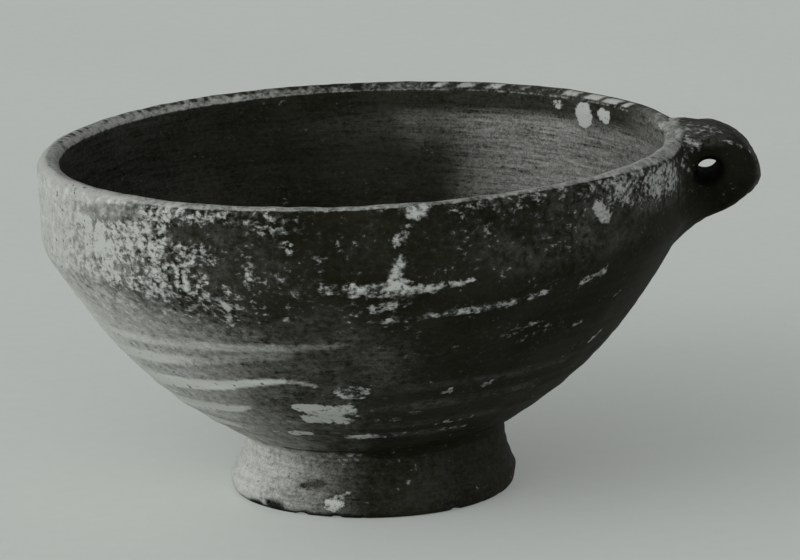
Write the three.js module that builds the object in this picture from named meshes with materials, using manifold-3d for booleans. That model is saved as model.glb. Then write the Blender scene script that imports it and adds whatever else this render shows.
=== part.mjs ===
// Handled pottery cup: a wheel-formed bowl on a ring foot, with a pierced lug at the rim.
// Millimetres, +Z up. The cup stands on z = 0 and its lug points along +X.
import * as THREE from 'three';
import { mergeVertices } from 'three/addons/utils/BufferGeometryUtils.js';
import Module from 'manifold-3d';

const wasm = await Module();
wasm.setup();

// Bowl sizes
const RIM_RADIUS = 68;
const RIM_HEIGHT = 74.5;
const UPRIGHT_WALL = 19.3;
const SHOULDER_EASE = 3;
const BASE_LEDGE = 2.6;
const WALL = 4.6;
const FLOOR = 5.5;

// Radius gained for each millimetre of height, just above the base and just below the shoulder
const LOW_FLARE = 1.65;
const HIGH_FLARE = 0.58;
// Share of the lower wall's height over which each of those two slopes holds
const LOW_HOLD = 0.26;
const HIGH_HOLD = 0.49;
// The same for the inside, whose floor runs level from the axis before it turns up
const INSIDE_FLOOR_HOLD = 0.72;
const INSIDE_WALL_HOLD = 0.38;

// The wheel work is a little off true: the rim's centre is shifted and the rim rises towards the lug
const RIM_SHIFT = -1.6;
const RIM_RISE = 0.0195;

// Foot sizes
const FOOT_HEIGHT = 14.2;
const FOOT_RADIUS = 30;
const FOOT_WIDEST_HEIGHT = 3.6;
const FOOT_NECK_RADIUS = 27.4;
const FOOT_NECK_WALL = 7;
const FOOT_BOTTOM_ROUND = 2;
const FOOT_REST_WIDTH = 4.5;

// Lug sizes: the reach and the straight sides run outward from the upright wall
const LUG_ABOVE_RIM = 2.1;
const LUG_REACH = 16.3;
const LUG_WIDTH = 18.5;
const LUG_STRAIGHT = 6.5;
const LUG_ROOT_HEIGHT = 22.5;
const LUG_TIP_DROP = 11.7;
// All edges of the lug are rounded; in side view its nose and tip are rounder by these radii
const LUG_EDGE = 4.5;
const LUG_NOSE_ROUND = 6.5;
const LUG_TIP_ROUND = 0.7;
const HOLE_RADIUS = 3;
const HOLE_FLARE = 0.7;
const HOLE_WEB = 1;
const HOLE_BELOW_TOP = 8.5;

// Luting layers, and the clearance left on each side of the curved one
const FOOT_LUTING = 0.8;
const FOOT_LUTING_INSET = 0.4;
const HANDLE_LUTING = 0.6;
const HANDLE_LUTING_MARGIN = 2;
const JOINT_GAP = 0.3;

// Facets
const AROUND = 60;
const CURVE_STEPS = 6;
const HOLE_SIDES = 24;
const EDGE_STEPS = 3;
const WELD = 1e-3;

// Levels and places that follow from the sizes
const BASE_RADIUS = FOOT_NECK_RADIUS + BASE_LEDGE;
const BASE_Z = FOOT_HEIGHT + FOOT_LUTING;
const FLOOR_Z = BASE_Z + FLOOR;
const SHOULDER_Z = RIM_HEIGHT - UPRIGHT_WALL;
const UPRIGHT_Z = SHOULDER_Z + SHOULDER_EASE;
const INNER_RADIUS = RIM_RADIUS - WALL;
const LUG_TOP = RIM_HEIGHT + LUG_ABOVE_RIM;
const LUG_UNDER = LUG_TOP - LUG_ROOT_HEIGHT;
const LUG_SEAT = JOINT_GAP + HANDLE_LUTING + JOINT_GAP;
const bowlShare = (z) => (z - BASE_Z) / (RIM_HEIGHT - BASE_Z);
const LUG_FACE = RIM_RADIUS + RIM_SHIFT * bowlShare(LUG_TOP);
const LUG_NOSE = LUG_FACE + LUG_REACH;
const HOLE_X = LUG_FACE + LUG_SEAT + HOLE_WEB + HOLE_RADIUS;

// A solid for joining and cutting, from a closed geometry
function solid(geometry) {
  const bare = geometry.clone();
  bare.deleteAttribute('normal');
  bare.deleteAttribute('uv');
  const merged = mergeVertices(bare, WELD);
  const corners = merged.index.array;
  const triVerts = [];
  for (let i = 0; i < corners.length; i += 3) {
    const [a, b, c] = corners.slice(i, i + 3);
    if (a !== b && b !== c && c !== a) triVerts.push(a, b, c);
  }
  const mesh = new wasm.Mesh({
    numProp: 3,
    vertProperties: new Float32Array(merged.attributes.position.array),
    triVerts: new Uint32Array(triVerts),
  });
  return new wasm.Manifold(mesh);
}

// A geometry from a solid
function geometryOf(manifold) {
  const mesh = manifold.getMesh();
  const geometry = new THREE.BufferGeometry();
  geometry.setAttribute('position', new THREE.BufferAttribute(mesh.vertProperties, 3));
  geometry.setIndex(new THREE.BufferAttribute(mesh.triVerts, 1));
  geometry.computeVertexNormals();
  return geometry;
}

// A profile of radius and height, turned about the vertical axis
function turned(path) {
  return new THREE.LatheGeometry(path.getPoints(CURVE_STEPS), AROUND).rotateX(Math.PI / 2);
}

// Moves a true bowl to its shifted and leaning shape
function offTrue(geometry) {
  const position = geometry.attributes.position;
  for (let i = 0; i < position.count; i += 1) {
    const share = bowlShare(position.getZ(i));
    position.setZ(i, position.getZ(i) + RIM_RISE * share * position.getX(i));
    position.setX(i, position.getX(i) + RIM_SHIFT * share);
  }
  return geometry;
}

// The bowl's outside, from the middle of its base to the upright wall, grown outward by a distance
function outsidePath(grown) {
  const height = SHOULDER_Z - BASE_Z;
  const low = LOW_HOLD * height;
  const high = HIGH_HOLD * height;
  const base = BASE_RADIUS + grown;
  const wall = RIM_RADIUS + grown;
  const shoulder = wall - HIGH_FLARE * SHOULDER_EASE / 2;
  const path = new THREE.Path();
  path.moveTo(0, BASE_Z);
  path.lineTo(base, BASE_Z);
  path.bezierCurveTo(base + LOW_FLARE * low, BASE_Z + low,
    shoulder - HIGH_FLARE * high, SHOULDER_Z - high, shoulder, SHOULDER_Z);
  path.quadraticCurveTo(wall, SHOULDER_Z + SHOULDER_EASE / 2, wall, UPRIGHT_Z);
  return path;
}

function bowl() {
  const lip = WALL / 2;
  const depth = UPRIGHT_Z - FLOOR_Z;
  const turn = INSIDE_WALL_HOLD * depth;
  const path = outsidePath(0);
  path.lineTo(RIM_RADIUS, RIM_HEIGHT - lip);
  path.quadraticCurveTo(RIM_RADIUS, RIM_HEIGHT, RIM_RADIUS - lip, RIM_HEIGHT);
  path.quadraticCurveTo(INNER_RADIUS, RIM_HEIGHT, INNER_RADIUS, RIM_HEIGHT - lip);
  path.lineTo(INNER_RADIUS, UPRIGHT_Z);
  path.bezierCurveTo(INNER_RADIUS - HIGH_FLARE * turn / 2, UPRIGHT_Z - turn,
    INSIDE_FLOOR_HOLD * INNER_RADIUS, FLOOR_Z, 0, FLOOR_Z);
  return offTrue(turned(path));
}

// A solid bowl grown by a distance and carried up past the lug, which shapes what lies against the wall
function wallEnvelope(grown) {
  const top = LUG_TOP + LUG_EDGE;
  const path = outsidePath(grown);
  path.lineTo(RIM_RADIUS + grown, top);
  path.lineTo(0, top);
  return solid(offTrue(turned(path)));
}

function ringFoot() {
  const restOuter = FOOT_RADIUS - FOOT_BOTTOM_ROUND;
  const restInner = restOuter - FOOT_REST_WIDTH;
  const path = new THREE.Path();
  path.moveTo(restInner, 0);
  path.lineTo(restOuter, 0);
  path.quadraticCurveTo(FOOT_RADIUS, 0, FOOT_RADIUS, FOOT_WIDEST_HEIGHT);
  path.quadraticCurveTo(FOOT_NECK_RADIUS, (FOOT_WIDEST_HEIGHT + FOOT_HEIGHT) / 2,
    FOOT_NECK_RADIUS, FOOT_HEIGHT);
  path.lineTo(FOOT_NECK_RADIUS - FOOT_NECK_WALL, FOOT_HEIGHT);
  path.lineTo(restInner, 0);
  return turned(path);
}

// The flat ring of clay between the foot's top and the bowl's base
function footLuting() {
  const outer = FOOT_NECK_RADIUS - FOOT_LUTING_INSET;
  const inner = FOOT_NECK_RADIUS - FOOT_NECK_WALL + FOOT_LUTING_INSET;
  const path = new THREE.Path();
  path.moveTo(inner, FOOT_HEIGHT);
  path.lineTo(outer, FOOT_HEIGHT);
  path.lineTo(outer, BASE_Z);
  path.lineTo(inner, BASE_Z);
  path.lineTo(inner, FOOT_HEIGHT);
  return turned(path);
}

// Side view of the lug's core, x outward and y up, run back into the wall
function lugSide() {
  const back = LUG_FACE - LUG_WIDTH / 2;
  const front = LUG_NOSE - LUG_EDGE;
  const top = LUG_TOP - LUG_EDGE;
  const root = new THREE.Vector2(LUG_FACE, LUG_UNDER + LUG_EDGE);
  const tip = new THREE.Vector2(front - LUG_TIP_ROUND, LUG_TOP - LUG_TIP_DROP);
  const toTip = tip.clone().sub(root);
  const underSlope = toTip.angle() - Math.asin(LUG_TIP_ROUND / toTip.length());
  const side = new THREE.Shape();
  side.moveTo(back, root.y);
  side.lineTo(root.x, root.y);
  side.absarc(tip.x, tip.y, LUG_TIP_ROUND, underSlope - Math.PI / 2, 0, false);
  side.absarc(front - LUG_NOSE_ROUND, top - LUG_NOSE_ROUND, LUG_NOSE_ROUND, 0, Math.PI / 2, false);
  side.lineTo(back, top);
  side.closePath();
  return side;
}

// Plan view of the lug: straight sides that end in a half-ellipse at the nose
function lugPlan() {
  const half = LUG_WIDTH / 2;
  const back = LUG_FACE - half;
  const bend = LUG_FACE + LUG_STRAIGHT;
  const plan = new THREE.Shape();
  plan.moveTo(back, -half);
  plan.lineTo(bend, -half);
  plan.absellipse(bend, 0, LUG_NOSE - bend, half, -Math.PI / 2, Math.PI / 2, false);
  plan.lineTo(back, half);
  plan.closePath();
  return plan;
}

// The cord hole: an hourglass along Y, narrow in the middle and flared at both mouths
function cordHole() {
  const half = LUG_WIDTH / 2;
  const mouth = HOLE_RADIUS + HOLE_FLARE;
  const path = new THREE.Path();
  path.moveTo(0, -LUG_WIDTH);
  path.lineTo(mouth, -LUG_WIDTH);
  path.lineTo(mouth, -half);
  path.quadraticCurveTo(HOLE_RADIUS, -half / 2, HOLE_RADIUS, 0);
  path.quadraticCurveTo(HOLE_RADIUS, half / 2, mouth, half);
  path.lineTo(mouth, LUG_WIDTH);
  path.lineTo(0, LUG_WIDTH);
  const hole = new THREE.LatheGeometry(path.getPoints(CURVE_STEPS), HOLE_SIDES);
  return solid(hole.translate(HOLE_X, 0, LUG_TOP - HOLE_BELOW_TOP));
}

function lugHandle() {
  const rounded = new THREE.ExtrudeGeometry(lugSide(), {
    depth: LUG_WIDTH - 2 * LUG_EDGE,
    bevelThickness: LUG_EDGE,
    bevelSize: LUG_EDGE,
    bevelSegments: EDGE_STEPS,
    curveSegments: CURVE_STEPS,
  });
  rounded.rotateX(Math.PI / 2).translate(0, LUG_WIDTH / 2 - LUG_EDGE, 0);
  const tongue = new THREE.ExtrudeGeometry(lugPlan(), {
    depth: LUG_TOP,
    bevelEnabled: false,
    curveSegments: CURVE_STEPS,
  });
  const blank = solid(rounded).intersect(solid(tongue));
  return geometryOf(blank.subtract(wallEnvelope(LUG_SEAT)).subtract(cordHole()));
}

// The pad of clay between the wall and the lug, spread a little past the lug's root
function handleLuting() {
  const half = LUG_WIDTH / 2 + HANDLE_LUTING_MARGIN;
  const corner = LUG_EDGE + HANDLE_LUTING_MARGIN;
  const bottom = LUG_UNDER - HANDLE_LUTING_MARGIN;
  const front = new THREE.Shape();
  front.moveTo(-half, RIM_HEIGHT);
  front.lineTo(-half, bottom + corner);
  front.absarc(corner - half, bottom + corner, corner, Math.PI, 1.5 * Math.PI, false);
  front.absarc(half - corner, bottom + corner, corner, 1.5 * Math.PI, 2 * Math.PI, false);
  front.lineTo(half, RIM_HEIGHT);
  front.closePath();
  const block = new THREE.ExtrudeGeometry(front, {
    depth: LUG_NOSE,
    bevelEnabled: false,
    curveSegments: EDGE_STEPS,
  });
  block.rotateX(Math.PI / 2).rotateZ(Math.PI / 2);
  const layer = wallEnvelope(JOINT_GAP + HANDLE_LUTING).subtract(wallEnvelope(JOINT_GAP));
  return geometryOf(solid(block).intersect(layer));
}

// Materials: dark slip over the bowl and the lug, barer clay on the foot, plain clay in the joints
const darkSlip = () => new THREE.MeshStandardMaterial({ color: 0x26261f, roughness: 0.55, metalness: 0 });
const bareClay = () => new THREE.MeshStandardMaterial({ color: 0x6d6f69, roughness: 0.85, metalness: 0 });
const lutingClay = () => new THREE.MeshStandardMaterial({ color: 0x4a4b45, roughness: 0.9, metalness: 0 });

// Assembly
const cup = new THREE.Group();
const pieces = [
  ['bowl', bowl(), darkSlip()],
  ['ring_foot', ringFoot(), bareClay()],
  ['lug_handle', lugHandle(), darkSlip()],
  ['foot_luting', footLuting(), lutingClay()],
  ['handle_luting', handleLuting(), lutingClay()],
];
for (const [name, geometry, material] of pieces) {
  const mesh = new THREE.Mesh(geometry, material);
  mesh.name = name;
  cup.add(mesh);
}

// The origin lies on the ground under the middle of the whole outline, lug included
const middle = new THREE.Box3().setFromObject(cup).getCenter(new THREE.Vector3());
cup.position.set(-middle.x, -middle.y, 0);

export default cup;
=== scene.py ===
"""Looks of the footed clay cup: worn dark slip, pale crust and a pierced lug, on a pale table."""

import math
from types import SimpleNamespace

import bmesh
import bpy
import numpy as np
from mathutils import Matrix, Vector


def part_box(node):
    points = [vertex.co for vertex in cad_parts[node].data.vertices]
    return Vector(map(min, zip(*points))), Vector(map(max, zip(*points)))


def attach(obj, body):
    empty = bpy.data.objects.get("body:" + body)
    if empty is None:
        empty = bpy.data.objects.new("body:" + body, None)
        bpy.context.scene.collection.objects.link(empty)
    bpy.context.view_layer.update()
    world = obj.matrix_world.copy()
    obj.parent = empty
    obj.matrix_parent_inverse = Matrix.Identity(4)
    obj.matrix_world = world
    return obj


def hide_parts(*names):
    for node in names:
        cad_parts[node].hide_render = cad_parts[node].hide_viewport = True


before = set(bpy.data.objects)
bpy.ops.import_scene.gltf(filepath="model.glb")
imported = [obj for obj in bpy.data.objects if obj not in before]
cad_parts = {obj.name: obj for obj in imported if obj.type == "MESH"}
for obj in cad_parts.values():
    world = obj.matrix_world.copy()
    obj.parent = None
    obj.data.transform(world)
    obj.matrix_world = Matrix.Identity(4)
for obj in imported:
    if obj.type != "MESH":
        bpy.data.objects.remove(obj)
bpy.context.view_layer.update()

# Sizes in millimetres, read from the CAD frame where it states them
MM = 0.001
bowl_low, bowl_high = (np.array(corner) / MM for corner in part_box("bowl"))
foot_low, foot_high = (np.array(corner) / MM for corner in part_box("ring_foot"))
lug_low, lug_high = (np.array(corner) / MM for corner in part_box("lug_handle"))

AXIS_X = (foot_low[0] + foot_high[0]) / 2
BASE_Z = bowl_low[2]
WALL = 4.6
LIP = WALL / 2
FLOOR_Z = BASE_Z + 5.5
# The lean: how steeply rim and base rise towards the lug, and how far the rim is shifted
RIM_RISE = 0.0195
BASE_RISE = 0.032
RIM_SHIFT = -1.6
# How steeply the marks climb towards the front
MARK_CLIMB = 0.0170
RIM_RADIUS = (bowl_high[1] - bowl_low[1]) / 2
RIM_HEIGHT = bowl_high[2] - RIM_RISE * (RIM_RADIUS - LIP)
INNER_RADIUS = RIM_RADIUS - WALL
SHOULDER_Z = RIM_HEIGHT - 19.3
SHOULDER_EASE = 3.0
UPRIGHT_Z = SHOULDER_Z + SHOULDER_EASE
BASE_RADIUS = 30.0
BASE_ROUND = 1.2
LOW_FLARE = 1.65
HIGH_FLARE = 0.58

FOOT_TOP = foot_high[2]
FOOT_RADIUS = (foot_high[1] - foot_low[1]) / 2
FOOT_WIDEST_Z = 3.6
FOOT_NECK = FOOT_RADIUS - 2.6
FOOT_NECK_WALL = 7.0
FOOT_REST = (23.5, 28.0)
FOOT_LUTING_DROP = 1.7
FOOT_LUTING_REACH = 31.6

# The lug: rounding of its edges low and high, then where its top is highest and how it drops from there
LUG_TOP = lug_high[2]
LUG_HALF_WIDTH = (lug_high[1] - lug_low[1]) / 2 + 0.7
LUG_NOSE = lug_high[0] - AXIS_X
LUG_EDGE = (5.0, 2.2)
LUG_CROWN = (2.0, 11.0, 1.9)
# The cord hole: its place in x and z, its radius within and at the mouths, and its stretch along x
HOLE = (71.2, 68.1)
HOLE_RADIUS = 2.3
HOLE_MOUTH = 3.2
HOLE_WIDEN = 1.09
# The hollowed faces round the hole: their radius, depth in y, and offset in x and z from the hole
DISH_ROUND = 19.5
DISH_FACE = 7.4
DISH_OFF = (0.5, -2.6)

# Mesh fineness
COLUMNS = 456
BOWL_ROWS = {"base": 9, "corner": 4, "outer": 88, "upright": 18, "lip": 17, "wall": 20, "inside": 58}
FOOT_COLUMNS = 320
FOOT_ROWS = {"bottom": 8, "heel": 12, "waist": 30, "top": 8, "hollow": 16, "luting": 14}
LUG_STEP = 0.36
# The space in x, y and z that the lug's grid fills
LUG_SPACE = ((58.0, 85.0), (-23.0, 23.0), (40.0, 80.0))
# How far the lug must stand proud of the wall to show, how deep its root is, and where luting ends
LUG_SKIN = 0.03
LUG_ROOT = 1.2
LUG_PARTING = 1.0
# Radii of the drums on which waves are laid
BOWL_DRUM = 68
RIDGE_DRUM = 30
FOOT_DRUM = 30
LUTING_DRUM = 28


# Plain maths


def ramp(low, high, value):
    """0 up to low, 1 from high on, and a smooth step between."""
    t = np.clip((value - low) / (high - low), 0, 1)
    return t * t * (3 - 2 * t)


def fall(low, high, value):
    return 1 - ramp(low, high, value)


def curve(controls, count):
    """A Bezier curve of any degree."""
    t = np.linspace(0, 1, count)[:, None]
    points = [np.array(p, float) + 0 * t for p in controls]
    while len(points) > 1:
        points = [a + (b - a) * t for a, b in zip(points, points[1:])]
    return points[0]


def even(points, count):
    """The same line in even steps."""
    steps = np.linalg.norm(np.diff(points, axis=0), axis=1)
    along = np.concatenate([[0], np.cumsum(steps)])
    wanted = np.linspace(0, along[-1], count)
    return np.stack([np.interp(wanted, along, points[:, k]) for k in range(points.shape[1])], 1)


def waves(points, length, seed, count=14):
    """Smooth variation, about -1 to 1, with features about that long."""
    rng = np.random.RandomState(seed)
    total = 0
    for _ in range(count):
        direction = rng.normal(size=points.shape[-1])
        direction /= np.linalg.norm(direction)
        wavelength = length * rng.uniform(0.7, 1.6)
        phase = rng.uniform(0, 2 * math.pi)
        total = total + np.sin(points @ direction * (2 * math.pi / wavelength) + phase)
    return total / math.sqrt(count)


def around(points):
    """Angle in degrees: 0 at the lug, -90 at the front."""
    return np.degrees(np.arctan2(points[..., 1], points[..., 0]))


def turn_apart(a, b):
    """Signed difference of two angles in degrees."""
    return (a - b + 180) % 360 - 180


# The cup's outline


def outer_line(count):
    """The bowl's outside, from its base to the upright wall."""
    height = SHOULDER_Z - BASE_Z
    low = 0.26 * height
    high = 0.49 * height
    shoulder = RIM_RADIUS - HIGH_FLARE * SHOULDER_EASE / 2
    flare = curve([
        (BASE_RADIUS, BASE_Z),
        (BASE_RADIUS + LOW_FLARE * low, BASE_Z + low),
        (shoulder - HIGH_FLARE * high, SHOULDER_Z - high),
        (shoulder, SHOULDER_Z),
    ], 300)
    ease = curve([
        (shoulder, SHOULDER_Z),
        (RIM_RADIUS, SHOULDER_Z + SHOULDER_EASE / 2),
        (RIM_RADIUS, UPRIGHT_Z),
    ], 40)
    return even(np.vstack([flare, ease[1:]]), count)


def inner_line(count):
    """The bowl's inside, from the upright wall to the floor."""
    turn = 0.38 * (UPRIGHT_Z - FLOOR_Z)
    return even(curve([
        (INNER_RADIUS, UPRIGHT_Z),
        (INNER_RADIUS - HIGH_FLARE * turn / 2, UPRIGHT_Z - turn),
        (0.72 * INNER_RADIUS, FLOOR_Z),
        (0, FLOOR_Z),
    ], 400), count)


def lip_line(count):
    angle = np.linspace(0, math.pi, count)
    radius = RIM_RADIUS - LIP + LIP * np.cos(angle)
    height = RIM_HEIGHT - LIP + LIP * np.sin(angle)
    return np.stack([radius, height], 1)


def joined(*lines):
    """Lines end to end as one."""
    return np.vstack([lines[0]] + [line[1:] for line in lines[1:]])


def normals_2d(line, closed):
    """Unit normals to the right of travel."""
    if closed:
        ahead = np.roll(line, -1, axis=0) - np.roll(line, 1, axis=0)
    else:
        ahead = np.gradient(line, axis=0)
    ahead /= np.linalg.norm(ahead, axis=1)[:, None]
    return np.stack([ahead[:, 1], -ahead[:, 0]], 1)


def bowl_share(z):
    """0 at the bowl's base and 1 at its rim."""
    return (z - BASE_Z) / (RIM_HEIGHT - BASE_Z)


def rise(z):
    """How steeply the cup rises towards the lug."""
    return np.interp(z, [0, BASE_Z, RIM_HEIGHT], [0, BASE_RISE, RIM_RISE])


def off_true(points):
    """The cup's lean: it rises towards the lug, and the rim is shifted."""
    z = points[..., 2]
    out = points.copy()
    out[..., 2] += rise(z) * points[..., 0]
    out[..., 0] += RIM_SHIFT * np.clip(bowl_share(z), 0, None)
    return out


def on_true(points):
    """The reverse of off_true, near enough."""
    z = points[..., 2]
    out = points.copy()
    out[..., 0] -= RIM_SHIFT * np.clip(bowl_share(z), 0, None)
    out[..., 2] -= rise(z) * out[..., 0]
    return out


def climbed(angle, z, radius):
    """Height by which marks are placed, tipped up to the front."""
    return z + MARK_CLIMB * radius * np.sin(np.radians(angle))


def level_height(angle, z, radius):
    """The same outside, where marks take only part of the lean."""
    lean = (rise(z) - RIM_RISE * bowl_share(z)) * radius * np.cos(np.radians(angle))
    slope = 1 + 0.3 * fall(44, 54, z)
    return climbed(angle, z, radius * slope) + lean


def out_of_round(angle, z):
    """How far the wall, inside and out, swings out of round."""
    a = np.radians(angle)
    swing = 0.16 * np.sin(2 * a + 0.7) + 0.12 * np.sin(3 * a + 2.1) + 0.07 * np.sin(5 * a + 4.0)
    return swing * np.clip(bowl_share(z), 0, 1)


def on_drum(angle, z, radius):
    a = np.radians(angle)
    return np.stack([np.cos(a) * radius, np.sin(a) * radius, z], -1)


def ripple(height, length, phase=0.0):
    """A plain wave of that length up the wall."""
    return np.sin(height * 2 * math.pi / length + phase)


def wheel_ridges(angle, z):
    """Turning ridges outside, strongest low down."""
    climb = z + angle / 360 * 1.6
    calm = 1 - 0.55 * np.exp(-(turn_apart(angle, 0) / 48) ** 2)
    strength = calm * (0.7 + 0.3 * waves(on_drum(angle, z, RIDGE_DRUM), 30, 11))
    low = fall(24, 40, z)
    fine = 0.045 * ripple(climb, 2.3, 1.0) + 0.05 * ripple(climb, 3.9, 2.0)
    broad = 0.08 * ripple(climb, 4.4) + 0.05 * ripple(climb, 7.1, 0.8)
    return strength * (fine + broad * low)


def inside_ridges(angle, z):
    climb = z - angle / 360 * 2.0
    return 0.04 * ripple(climb, 2.9) + 0.06 * ripple(climb, 6.3, 1.2)


# Marks listed as strokes on the unrolled surface
# Each stroke: angle and height of its start and end, half thickness at both, strength or both strengths

CRUST_STROKES = [
    # the drip that runs down from the lip, and the streak it joins on the shoulder
    (-81.6, 72.1, -79.4, 72.2, 1.7, 1.7, 0.92), (-82.3, 69, -84, 66, 1.3, 1.6, 0.62),
    (-83.4, 62.3, -84.6, 60, 1.4, 1.7, 0.86), (-92.5, 56.5, -84, 57.1, 1.3, 2.3, 0.7, 0.98),
    (-84, 56.4, -70.5, 57.4, 1.4, 0.5, 0.92, 0.8), (-88.6, 52.4, -82.5, 54.2, 1.2, 1.2, 0.8),
    (-97, 56.6, -92, 57.4, 0.9, 1.3, 0.68), (-86.2, 49.7, -84.9, 49.7, 1.2, 1.2, 0.8),
    (-104.3, 50.6, -103.4, 50.6, 0.8, 0.8, 0.8), (-80, 50.1, -70, 50.8, 0.7, 1, 0.66),
    (-70, 50.8, -62.5, 51.5, 1, 1.1, 0.78), (-60, 52, -56.2, 52.6, 0.8, 0.7, 0.73),
    (-49, 53.2, -44, 54.6, 0.8, 1.1, 0.75),
    # clots left of the drip
    (-104.6, 59.9, -103.9, 59, 0.9, 0.9, 0.74), (-101.6, 56.2, -100.8, 55.8, 1, 0.9, 0.74),
    (-109.4, 60, -108.9, 59, 0.8, 0.9, 0.74), (-112, 53.4, -111.2, 52, 0.9, 1.1, 0.8),
    (-97.4, 57.8, -95, 57.5, 0.8, 0.9, 0.74), (-104.3, 69.3, -103.8, 69, 1, 0.9, 0.74),
    (-105.6, 72.4, -105.3, 70.8, 0.9, 0.8, 0.72), (-102.9, 66.6, -102, 64.8, 1, 1.3, 0.66),
    (-109.8, 71, -108.6, 70.6, 1.1, 0.9, 0.74), (-117.9, 64.8, -115.6, 62.4, 1.4, 1.6, 0.68),
    (-97.4, 63.4, -96.4, 63.1, 0.8, 0.8, 0.62), (-117.8, 58.8, -117.2, 58.2, 1.2, 1.2, 0.82),
    (-117, 55, -113.4, 53, 1.2, 1.3, 0.84), (-123, 57.6, -119.4, 56.4, 1.3, 1.4, 0.84),
    # drips, streaks and flakes on the back
    (97, 72, 98.2, 66, 1.4, 1, 0.8), (84, 55, 104, 54.2, 0.9, 1.2, 0.76),
    (124, 47, 140, 46.4, 0.8, 0.9, 0.72), (64, 60.5, 66.5, 60.2, 1.2, 1, 0.82),
    (40, 66.2, 43, 67, 1.2, 1.4, 0.76), (150, 30, 160, 30.4, 0.9, 0.8, 0.82),
    (106, 25, 118, 25.2, 0.9, 0.7, 0.74), (58, 33.6, 66, 33.2, 0.8, 0.8, 0.7),
    # crumbs that hang along the lip from the left to the front
    (-154, 71.6, -132, 73, 1, 1.5, 0.36, 0.6), (-132, 73, -112, 73.4, 1.5, 1.2, 0.62),
    (-112, 73.4, -96, 73.5, 1.2, 0.9, 0.54, 0.46), (-96, 73.5, -62, 73.6, 0.9, 0.8, 0.46, 0.4),
    # patches under the rim by the lug
    (-45.6, 68.3, -44.2, 65.5, 2, 2.1, 1), (-44, 68, -36, 70, 1.6, 1.8, 0.67),
    (-36, 69.6, -28, 70.6, 1.7, 1.7, 0.62),
    # flakes scattered on the right of the lower wall
    (-59.5, 44.4, -55.5, 45.2, 0.6, 0.6, 0.65), (-63, 43.4, -61, 43, 0.6, 0.6, 0.63),
    (-53.5, 44.6, -52.2, 44.2, 0.7, 0.6, 0.67), (-45.5, 42.6, -43, 43.1, 0.6, 0.6, 0.69),
    (-36, 47.2, -34.5, 47.8, 0.6, 0.6, 0.64), (-34.6, 36.6, -32.4, 38.8, 0.6, 0.8, 0.74),
    # flaked patches low on the front
    (-96.5, 32.5, -90.5, 32.4, 1.2, 1.4, 0.72), (-97.6, 32.4, -96, 31, 0.7, 0.7, 0.95),
    (-96, 31, -91.5, 30.5, 0.7, 0.4, 0.92), (-108.2, 28, -95, 27.6, 0.9, 1.7, 1.3, 0.98),
    (-105, 26.6, -99, 26.4, 1.4, 1.6, 1.25, 1.05), (-107, 24.7, -95.5, 24.4, 1.3, 1.1, 1.35, 0.98),
    (-97, 24.6, -82, 24.1, 0.6, 0.3, 0.64, 0.48), (-98, 26, -92, 25.4, 1.6, 0.7, 0.64),
    (-115.2, 20, -109, 20.3, 0.9, 0.75, 1.05), (-122.5, 20, -119.6, 20.1, 0.6, 0.6, 0.78),
    (-98.5, 19.3, -86, 19.4, 0.6, 0.7, 0.84), (-86, 19.4, -60, 20, 0.4, 0.4, 0.61),
    (-71.5, 22.2, -61, 22.8, 0.7, 0.5, 0.73), (-80.2, 25.8, -77.6, 25.9, 0.7, 0.7, 0.68),
    (-72.7, 31.2, -71.4, 31.2, 0.9, 0.9, 0.69), (-63.2, 31.4, -61.8, 31.9, 0.7, 0.7, 0.74),
    # ends of the pale streaks on the left
    (-112, 34.6, -107.2, 35.6, 0.35, 0.3, 0.73), (-107.2, 35.6, -105.6, 34.8, 0.3, 0.3, 0.73),
    (-105.6, 34.8, -109, 34.2, 0.3, 0.3, 0.7), (-109.5, 43.3, -104.5, 43.4, 0.8, 0.8, 0.67),
]

# Broad areas where the crust is speckled: angle, height, half width and half height, density
CRUST_FIELDS = [
    (-178, 66, 26, 14, 0.98), (-172, 72, 26, 4, 0.66), (-168, 57, 20, 8, 0.86),
    (-148, 64, 19, 8.5, 0.9), (-146, 58.5, 10, 4, 0.5), (-137, 66.2, 13, 6, 0.82),
    (-125, 66, 9, 8, 0.54), (-142, 54.5, 14, 5, 0.7), (-131, 57.5, 12, 5, 0.6),
    (-121, 53.6, 13, 5.5, 0.46), (-116, 63, 14, 9, 0.4), (-103, 55, 13, 6, 0.22),
    (-126, 71.6, 9, 2.6, 0.64), (-118, 72.6, 8, 2.4, 0.46), (-108, 70.8, 12, 4, 0.44),
    (-98, 64, 12, 9, 0.16), (-147, 50.5, 16, 4, 0.55), (-138, 49, 16, 4, 0.36),
    (-118, 49.5, 14, 3.5, 0.38), (-88, 50, 12, 5, 0.28), (-60, 66, 18, 9, 0.25),
    (-76, 64, 12, 10, 0.16), (-50, 72.6, 36, 2.4, 0.42), (-60, 53, 24, 6, 0.14), (-58, 44, 14, 4, 0.24),
    (-34, 69.5, 17, 4.6, 0.66), (-24, 69, 9, 4.6, 0.78), (-20, 64.5, 10, 5, 0.28),
    (25, 60, 14, 8, 0.25), (60, 64, 26, 8, 0.3), (110, 58, 26, 10, 0.36), (120, 34, 24, 8, 0.26),
    (150, 62, 30, 12, 0.6),
]

# Where the crust is thin, under the lip: as the fields above, with the share that is lost
CRUST_GAPS = [
    (-140, 70.2, 13, 1.9, 0.34), (-117, 67.6, 9, 2.4, 0.55),
]

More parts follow.
